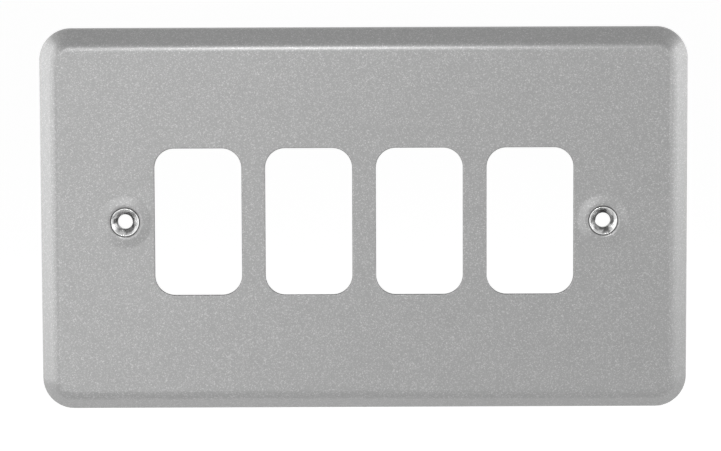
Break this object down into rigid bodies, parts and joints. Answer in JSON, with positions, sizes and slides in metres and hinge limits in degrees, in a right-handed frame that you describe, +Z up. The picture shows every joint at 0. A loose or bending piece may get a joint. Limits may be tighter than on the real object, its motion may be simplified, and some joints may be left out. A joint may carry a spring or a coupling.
{
  "type": "grid switch plate",
  "caption": "Pressed steel front plate for grid switches, with rounded windows in a row, turned-back edges and an eyeletted screw hole at each end.",
  "frame": {"origin": "midway between the two fixing screws, on the plane of the rim that meets the wall", "axes": "X across the plate's length, Z up, and the front faces -Y, so +Y points into the wall"},
  "size_m": [0.164, 0.0095, 0.097],
  "materials": {
    "painted_steel": "satin silver-grey metallic paint with a fine grain",
    "plated_eyelet": "bright nickel plating"
  },
  "bodies": {
    "root": {"front_plate": "painted_steel", "screw_eyelet_left": "plated_eyelet", "screw_eyelet_right": "plated_eyelet"}
  },
  "joints": []
}
